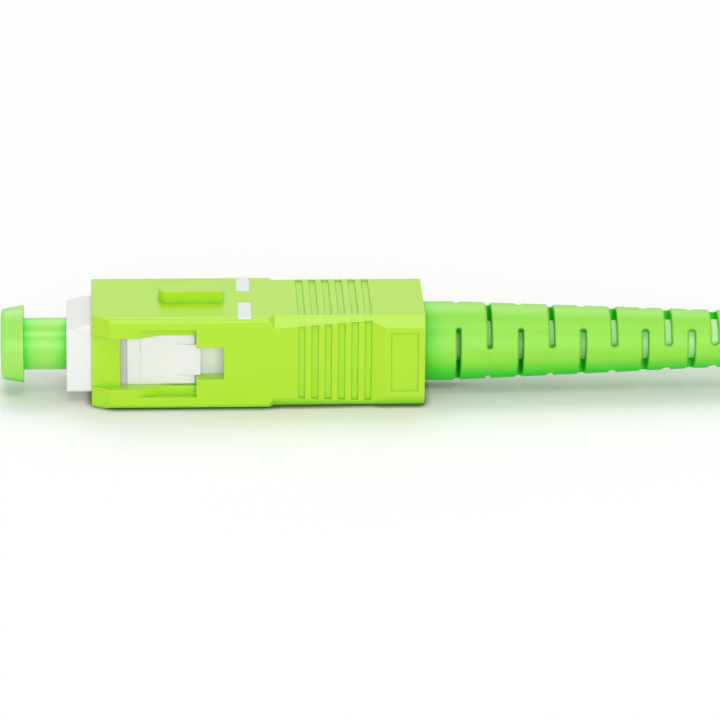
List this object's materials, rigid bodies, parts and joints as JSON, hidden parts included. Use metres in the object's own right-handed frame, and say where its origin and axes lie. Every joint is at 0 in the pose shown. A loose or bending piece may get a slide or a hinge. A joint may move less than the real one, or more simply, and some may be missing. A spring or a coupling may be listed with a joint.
{
  "type": "fibre optic connector",
  "caption": "Push-pull fibre connector with a keyed sliding housing, sprung angled ferrule, dust cap, slotted boot and a tied hank of 3 mm cable.",
  "frame": {"origin": "on the fibre's axis, in the front face of the plug frame", "axes": "+X along the fibre from the ferrule's tip towards the cable, +Z towards the key, +Y across the latch sides"},
  "size_m": [0.1424, 0.0274, 0.0124],
  "materials": {
    "housing_green": "lime green moulded plastic, satin",
    "mark_white": "white printing ink",
    "frame_white": "white moulded plastic, satin",
    "cap_green": "bright green soft plastic, slightly translucent",
    "zirconia": "polished white ceramic",
    "plated_metal": "nickel-plated brass, satin",
    "clear_plastic": "natural plastic tube",
    "fibre_glass": "clear silica glass",
    "buffer_plastic": "pale yellow plastic coating",
    "spring_steel": "bright spring wire",
    "aramid": "pale gold aramid yarn",
    "jacket_white": "white cable jacket, matt",
    "boot_green": "green soft moulded plastic, satin",
    "tie_plastic": "plain grey strap"
  },
  "bodies": {
    "core": {"plug_frame": "frame_white", "stop_ring": "plated_metal", "coil_spring": "spring_steel", "crimp_sleeve": "plated_metal", "aramid_yarn": "aramid", "jacket_ring": "plated_metal", "cable_jacket": "jacket_white", "boot": "boot_green", "cable_run": "jacket_white", "cable_coil": "jacket_white", "coil_tie_left": "tie_plastic", "coil_tie_right": "tie_plastic"},
    "housing": {"outer_housing": "housing_green", "position_mark_near": "mark_white", "position_mark_far": "mark_white"},
    "ferrule": {"ferrule": "zirconia", "ferrule_flange": "plated_metal", "guide_tube": "clear_plastic", "optical_fibre": "fibre_glass", "tight_buffer": "buffer_plastic"},
    "cap": {"dust_cap": "cap_green"}
  },
  "joints": [
    {"name": "housing_slide", "type": "slide", "parent": "core", "child": "housing", "axis": [1, 0, 0], "range_m": [0, 0.002]},
    {"name": "ferrule_float", "type": "slide", "parent": "core", "child": "ferrule", "axis": [1, 0, 0], "range_m": [0, 0.0012], "stiffness_N_per_m": 2500, "springref_m": -0.0028, "deforming": ["coil_spring"]},
    {"name": "cap_pull", "type": "slide", "parent": "ferrule", "child": "cap", "axis": [-1, 0, 0], "range_m": [0, 0.012]}
  ]
}
